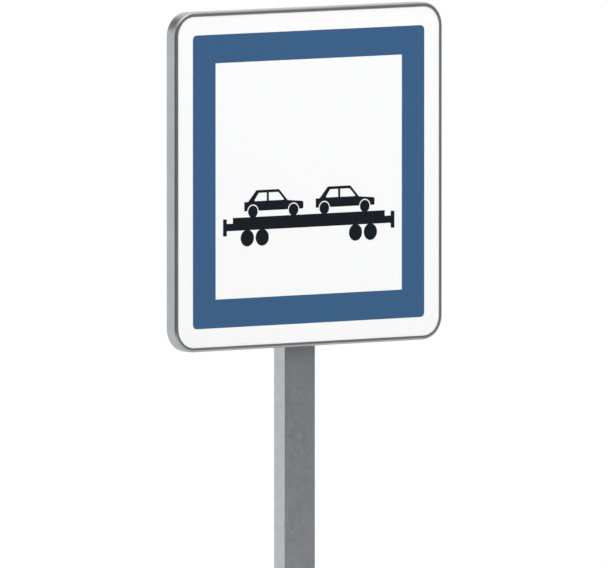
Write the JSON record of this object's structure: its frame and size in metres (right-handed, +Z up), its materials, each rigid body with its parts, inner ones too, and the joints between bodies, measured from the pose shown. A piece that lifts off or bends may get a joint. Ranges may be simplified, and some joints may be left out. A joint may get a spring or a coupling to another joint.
{
  "type": "road information sign",
  "caption": "Square road information sign with a rounded aluminium edge profile, clamped by two back rails to a rectangular tube post.",
  "frame": {"origin": "centre of the post's plain cut foot, on the post's axis", "axes": "+Z up the post, +X to the right as seen by a reader of the sign, +Y away from the reader, so the face looks along -Y"},
  "size_m": [0.7, 0.073, 2.1],
  "materials": {
    "post_zinc": "hot-dip galvanised, satin",
    "clamp_zinc": "hot-dip galvanised strap",
    "profile_aluminium": "extruded, satin anodised",
    "sheet_aluminium": "mill finish sheet",
    "rail_aluminium": "extruded, mill finish",
    "rivet_aluminium": "plain",
    "white_film": "retroreflective film",
    "blue_film": "transparent blue film over white",
    "black_film": "opaque film, semi-gloss",
    "fastener_steel": "stainless",
    "cap_plastic": "moulded"
  },
  "bodies": {
    "root": {"post": "post_zinc", "post_cap": "cap_plastic", "edge_profile": "profile_aluminium", "profile_joint_key": "rail_aluminium", "face_sheet": "sheet_aluminium", "white_film": "white_film", "blue_border_film": "blue_film", "wagon_symbol": "black_film", "left_car_symbol": "black_film", "right_car_symbol": "black_film", "upper_rail": "rail_aluminium", "lower_rail": "rail_aluminium", "upper_rail_rivets": "rivet_aluminium", "lower_rail_rivets": "rivet_aluminium", "upper_clamp": "clamp_zinc", "lower_clamp": "clamp_zinc", "upper_left_bolt": "fastener_steel", "upper_right_bolt": "fastener_steel", "lower_left_bolt": "fastener_steel", "lower_right_bolt": "fastener_steel", "upper_left_washer": "fastener_steel", "upper_right_washer": "fastener_steel", "lower_left_washer": "fastener_steel", "lower_right_washer": "fastener_steel", "upper_left_nut": "fastener_steel", "upper_right_nut": "fastener_steel", "lower_left_nut": "fastener_steel", "lower_right_nut": "fastener_steel"}
  },
  "joints": []
}
